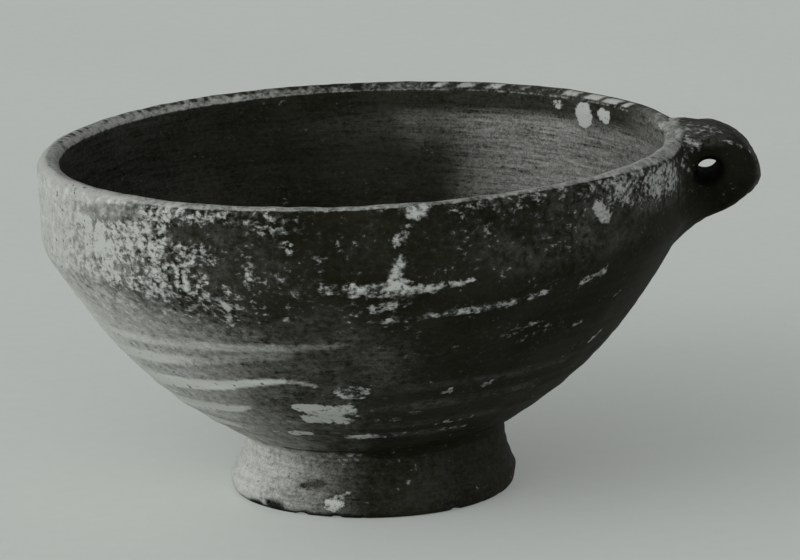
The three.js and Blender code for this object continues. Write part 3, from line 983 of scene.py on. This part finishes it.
def lug_pieces():
    """The lug and the clay round its root, one surface parted in two."""
    axes = [np.arange(low, high, LUG_STEP) for low, high in LUG_SPACE]
    grid = np.stack(np.meshgrid(*axes, indexing="ij"), -1)
    wall = wall_distance(grid)
    fused = lug_and_wall(grid, wall)
    field = np.maximum(fused, fused - wall + LUG_SKIN)
    field = np.maximum(field, -LUG_ROOT - wall)
    points, quads = surface_net(field, [low for low, high in LUG_SPACE], LUG_STEP)
    for _ in range(2):
        normals, miss = lug_normals(points)
        near = np.abs(miss) < 2 * LUG_SKIN + LUG_STEP / 2
        points = points - np.where(near, miss, 0)[:, None] * normals

    marks = lug_marks(points)
    parted = wall_distance(points[quads].mean(1)) < LUG_PARTING
    pieces = []
    for name, keep in (("cup_lug_handle", ~parted), ("cup_handle_luting", parted)):
        used, renumbered = np.unique(quads[keep], return_inverse=True)
        faces = renumbered.reshape(-1, 4).tolist()
        kept_marks = {key: values[used] for key, values in marks.items()}
        piece = mesh_piece(name, points[used], faces, kept_marks)
        capped(piece)
        piece.data.normals_split_custom_set_from_vertices(normals[used].tolist())
        pieces.append(piece)
    return pieces


# Materials


class Graph:
    """Small helper to lay out shader nodes."""

    def __init__(self, owner):
        self.owner = owner
        owner.use_nodes = True
        self.tree = owner.node_tree
        self.tree.nodes.clear()

    def add(self, kind, inputs=None, **settings):
        node = self.tree.nodes.new(kind)
        for key, value in settings.items():
            setattr(node, key, value)
        for key, value in (inputs or {}).items():
            self.put(node.inputs[key], value)
        return node

    def put(self, socket, value):
        if isinstance(value, bpy.types.NodeSocket):
            self.tree.links.new(value, socket)
        else:
            socket.default_value = value

    def noise(self, place, scale, detail=2.0, rough=0.5):
        inputs = {"Vector": place, "Scale": scale, "Detail": detail, "Roughness": rough}
        return self.add("ShaderNodeTexNoise", inputs).outputs["Fac"]

    def maths(self, operation, a, b=0.0, c=0.0):
        node = self.add("ShaderNodeMath", operation=operation)
        for socket, value in zip(node.inputs, (a, b, c)):
            self.put(socket, value)
        return node.outputs[0]

    def total(self, bias, *parts):
        """A bias plus values times their weights."""
        for value, weight in reversed(parts):
            bias = self.maths("MULTIPLY_ADD", value, weight, bias)
        return bias

    def mixed(self, a, a_share, b, b_share):
        """Two values added up by their shares."""
        return self.maths("ADD", self.maths("MULTIPLY", a, a_share), self.maths("MULTIPLY", b, b_share))

    def spread(self, value, low, high, to_low=0.0, to_high=1.0):
        inputs = {"Value": value, "From Min": low, "From Max": high, "To Min": to_low, "To Max": to_high}
        node = self.add("ShaderNodeMapRange", inputs, interpolation_type="SMOOTHSTEP")
        return node.outputs[0]

    def blend(self, fac, a, b, mode="MIX"):
        node = self.add("ShaderNodeMix", data_type="RGBA", blend_type=mode)
        self.put(node.inputs[0], fac)
        self.put(node.inputs[6], a)
        self.put(node.inputs[7], b)
        return node.outputs[2]

    def stretched(self, place, scale):
        return self.add("ShaderNodeMapping", {"Vector": place, "Scale": scale}).outputs[0]

    def mark(self, name):
        node = self.add("ShaderNodeAttribute", attribute_name=name, attribute_type="GEOMETRY")
        return node.outputs["Fac"]

    def seen_ray(self):
        """1 for rays that the camera sees, straight or reflected."""
        ray = self.add("ShaderNodeLightPath").outputs
        seen = self.maths("MAXIMUM", ray["Is Camera Ray"], ray["Is Glossy Ray"])
        return self.maths("MAXIMUM", seen, ray["Is Transmission Ray"])

    def finish(self, shader, output="ShaderNodeOutputMaterial"):
        out = self.add(output)
        self.tree.links.new(shader, out.inputs["Surface"])
        return self.owner


# Colours of the pottery
SLIP_DEEP = (0.0074, 0.0077, 0.0030, 1)
SLIP_WORN = (0.0205, 0.0213, 0.0138, 1)
# the dark of painted shade on the lug and of the chips on the foot
SHADE_AND_CHIP_DARK = (0.0020, 0.0022, 0.0012, 1)
FILM_PALE = (0.565, 0.586, 0.549, 1)
CRUST_PALE = (0.445, 0.463, 0.436, 1)
CRUST_GREY = (0.040, 0.0415, 0.036, 1)
RIM_PALE = (0.430, 0.447, 0.418, 1)
PIT_DARK = (0.030, 0.031, 0.025, 1)


def pottery_noise(g, place):
    """Noises that break up the marks, some drawn out along the turning."""
    lengthened = g.stretched(place, (0.68, 0.68, 1))
    return SimpleNamespace(
        grain=g.noise(place, 2400.0, 2.0, 0.6),
        flakes=g.noise(lengthened, 1250.0, 4.0, 0.66),
        lumps=g.noise(lengthened, 320.0, 3.0, 0.55),
        mottle=g.noise(place, 640.0),
        cloud=g.noise(place, 70.0, 3.0, 0.5),
        smudge=g.noise(place, 105.0, 4.0, 0.6),
        thin=g.noise(place, 210.0),
        pits=g.noise(place, 760.0),
        turning=g.noise(g.stretched(place, (1, 1, 26)), 42.0, 4.0, 0.55),
        brushed=g.noise(g.stretched(place, (1, 1, 8)), 150.0, 3.0, 0.6),
        lines=g.noise(g.stretched(place, (1, 1, 17)), 125.0),
    )


def film_cover(g, noise):
    """How far the film covers the slip, in streaks where brushed and else in blotches."""
    mark = g.mark("film")
    brush = g.mark("brush")
    streaks = g.total(-1.1, (noise.brushed, 1.3), (noise.turning, 0.9))
    streaks = g.maths("ADD", streaks, g.total(-0.9, (noise.lines, 1.8)))
    speckle = g.total(-2.15, (noise.flakes, 2.4), (noise.grain, 1.9))
    blotch = g.total(-2.05, (noise.lumps, 1.7), (noise.mottle, 2.4))
    uneven = g.total(blotch, (g.maths("SUBTRACT", streaks, blotch), brush))
    uneven = g.total(uneven, (speckle, g.total(0.5, (brush, 0.5))))
    faint = g.spread(mark, 0.06, 0.32, 1.0, 0.0)
    faint = g.maths("MULTIPLY", faint, g.maths("SUBTRACT", 1.0, brush))
    keep = g.total(1.25, (mark, -0.85))
    keep = g.maths("SUBTRACT", keep, g.spread(mark, 0.58, 0.80, 0.0, 0.20))
    keep = g.total(keep, (faint, 1.1))
    film = g.maths("MULTIPLY", mark, g.total(1.0, (uneven, keep)))
    smudge = g.spread(noise.smudge, 0.36, 0.66, -0.65, 0.75)
    film = g.maths("MULTIPLY", film, g.total(1.0, (smudge, faint)))
    return g.maths("MINIMUM", g.maths("MAXIMUM", film, 0.0), 1.1)


def crust_cover(g, noise):
    """How far the crust covers the rest, and its colour, grey where thin."""
    push = g.total(-1.1, (noise.flakes, 2.2))
    drift = g.total(-1.05, (noise.lumps, 0.9), (noise.mottle, 1.2))
    level = g.maths("ADD", g.mark("crust"), g.maths("ADD", push, drift))
    thin = g.spread(noise.thin, 0.42, 0.60, 0.0, 0.26)
    tone = g.spread(g.maths("SUBTRACT", level, thin), 0.42, 1.14)
    return g.spread(level, 0.36, 0.66), g.blend(tone, CRUST_GREY, CRUST_PALE)


def pottery_material(name, specular):
    """Dark slip under painted shade and dark chips, a pale film, the worn lip, crust and pits."""
    g = Graph(bpy.data.materials.new(name))
    noise = pottery_noise(g, g.add("ShaderNodeTexCoord").outputs["Object"])
    # painted shade on the lug, and dark chips along the foot's lower edge
    painted_shade_and_chips = g.mark("painted_shade_and_chips")
    worn = g.spread(g.mixed(noise.cloud, 0.6, noise.flakes, 0.4), 0.36, 0.68)
    colour = g.blend(worn, SLIP_DEEP, SLIP_WORN)
    colour = g.blend(painted_shade_and_chips, colour, SHADE_AND_CHIP_DARK)
    film = film_cover(g, noise)
    colour = g.blend(film, colour, FILM_PALE)
    ragged = g.total(-0.80, (noise.flakes, 0.95), (noise.lumps, 0.65))
    rim = g.spread(g.maths("ADD", g.mark("lip"), ragged), 0.20, 0.85)
    colour = g.blend(rim, colour, RIM_PALE)
    crust, crust_colour = crust_cover(g, noise)
    colour = g.blend(crust, colour, crust_colour, "LIGHTEN")
    pale = g.maths("MAXIMUM", crust, g.maths("MAXIMUM", film, rim))
    pits = g.spread(noise.pits, 0.66, 0.72)
    pitted = g.maths("MULTIPLY", pits, g.total(0.35, (pale, 0.40)))
    colour = g.blend(pitted, colour, PIT_DARK)
    roughness = g.spread(g.maths("MAXIMUM", pale, painted_shade_and_chips), 0.0, 1.0, 0.60, 0.92)

    height = g.mixed(noise.turning, 0.55, noise.flakes, 0.5)
    height = g.maths("ADD", height, g.maths("MULTIPLY", crust, 0.9))
    height = g.maths("SUBTRACT", height, g.maths("MULTIPLY", pits, 0.8))
    bump = g.add("ShaderNodeBump", {"Strength": 0.55, "Distance": 0.00022, "Height": height})
    shader = g.add("ShaderNodeBsdfPrincipled", {
        "Base Color": colour,
        "Roughness": roughness,
        "Specular IOR Level": specular,
        "Normal": bump.outputs[0],
    })
    return g.finish(shader.outputs[0])


# Colours of the table and of the room behind it
TABLE_DARK = (0.500, 0.528, 0.502, 1)
TABLE_PALE = (0.530, 0.559, 0.532, 1)
TABLE_GLOW = (0.150, 0.1583, 0.1508, 1)
ROOM_SEEN = (0.420, 0.443, 0.421, 1)


def table_material():
    g = Graph(bpy.data.materials.new("pale table"))
    place = g.add("ShaderNodeTexCoord").outputs["Object"]
    grain = g.noise(place, 220.0, 4.0, 0.6)
    cloud = g.noise(place, 6.0, 3.0, 0.5)
    paler = g.spread(g.mixed(grain, 0.4, cloud, 0.6), 0.3, 0.7)
    colour = g.blend(paler, TABLE_DARK, TABLE_PALE)
    bump = g.add("ShaderNodeBump", {"Strength": 0.15, "Distance": 0.0002, "Height": grain})
    shader = g.add("ShaderNodeBsdfPrincipled", {
        "Base Color": colour,
        "Roughness": 0.9,
        "Specular IOR Level": 0.1,
        "Emission Color": TABLE_GLOW,
        "Emission Strength": g.seen_ray(),
        "Normal": bump.outputs[0],
    })
    return g.finish(shader.outputs[0])


# The scene

TABLE_HALF = 12.0


def table():
    corners = [(x * TABLE_HALF, y * TABLE_HALF, 0) for x, y in ((-1, -1), (1, -1), (1, 1), (-1, 1))]
    mesh = bpy.data.meshes.new("Table")
    mesh.from_pydata(corners, [], [(0, 1, 2, 3)])
    top = in_scene("Table", mesh)
    top.data.materials.append(table_material())


def softbox(name, place, target, size, power):
    """A square soft light turned to its target."""
    light = bpy.data.lights.new(name, "AREA")
    light.shape = "RECTANGLE"
    light.size = size
    light.size_y = size
    light.energy = power
    lamp = in_scene(name, light)
    direction = Vector(target) - Vector(place)
    lamp.location = place
    lamp.rotation_euler = direction.to_track_quat("-Z", "Y").to_euler()


# The room's light: the side it comes from, its level away from and at that side, the share from above
LIT_SIDE = (-0.72, -0.69, 0.0)
ROOM_DIM = 0.52
ROOM_BRIGHT = 2.30
ROOM_TOP = 0.40


def lighting():
    room = bpy.data.worlds.new("Room")
    bpy.context.scene.world = room
    g = Graph(room)
    direction = g.add("ShaderNodeTexCoord").outputs["Generated"]
    facing = g.add("ShaderNodeVectorMath", {0: direction, 1: LIT_SIDE}, operation="DOT_PRODUCT")
    sideways = g.spread(facing.outputs["Value"], 0.0, 1.0, ROOM_DIM, ROOM_BRIGHT)
    upward = g.add("ShaderNodeSeparateXYZ", {"Vector": direction}).outputs["Z"]
    light = g.maths("MULTIPLY", sideways, g.spread(upward, 0.10, 0.75, 1.0, ROOM_TOP))
    lit = g.add("ShaderNodeBackground", {"Color": (1, 1, 1, 1), "Strength": light})
    seen = g.add("ShaderNodeBackground", {"Color": ROOM_SEEN, "Strength": 1.0})
    mixed = g.add("ShaderNodeMixShader", {0: g.seen_ray(), 1: lit.outputs[0], 2: seen.outputs[0]})
    g.finish(mixed.outputs[0], "ShaderNodeOutputWorld")
    softbox("Window", place=(-5.2, -5.0, 4.2), target=(0, 0, 0.03), size=5.0, power=105)


# The camera: distance in rim radii, tilt and roll in degrees, the x from the axis and the z it looks at,
# and focal length in pixels
CAMERA_DISTANCE = 14
CAMERA_TILT = 13.15
CAMERA_ROLL = -1.16
CAMERA_AIM = (6.01, 44.13)
CAMERA_FOCUS = 4492
PICTURE_WIDTH = 800


def camera():
    """The photograph's camera: a long lens from above the rim, rolled a little."""
    distance = CAMERA_DISTANCE * RIM_RADIUS * MM
    tilt = math.radians(CAMERA_TILT)
    roll = math.radians(CAMERA_ROLL)
    aim = Vector(((AXIS_X + CAMERA_AIM[0]) * MM, 0, CAMERA_AIM[1] * MM))
    forward = Vector((0, math.cos(tilt), -math.sin(tilt)))
    right = Vector((1, 0, 0))
    up = right.cross(forward)
    across = right * math.cos(roll) + up * math.sin(roll)
    upward = -right * math.sin(roll) + up * math.cos(roll)
    data = bpy.data.cameras.new("Camera")
    data.sensor_width = 36
    data.lens = CAMERA_FOCUS / PICTURE_WIDTH * data.sensor_width
    data.clip_end = 100
    eye = in_scene("Camera", data)
    turn = Matrix((across, upward, -forward)).transposed()
    eye.matrix_world = Matrix.Translation(aim - forward * distance) @ turn.to_4x4()
    bpy.context.scene.camera = eye


def main():
    slip = pottery_material("worn dark slip", specular=0.05)
    clay = pottery_material("bare foot clay", specular=0.04)
    lug, lug_luting = lug_pieces()
    pieces = [
        (bowl_piece(), "bowl", "dark_slip", slip),
        (foot_piece(), "ring_foot", "bare_clay", clay),
        (foot_luting_piece(), "foot_luting", "luting_clay", clay),
        (lug, "lug_handle", "dark_slip", slip),
        (lug_luting, "handle_luting", "luting_clay", slip),
    ]
    for piece, node, slot, material in pieces:
        piece.data.materials.append(material)
        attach(piece, "root")
        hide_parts(node)
    table()
    lighting()
    camera()
    bpy.context.scene.view_settings.view_transform = "Standard"


main()
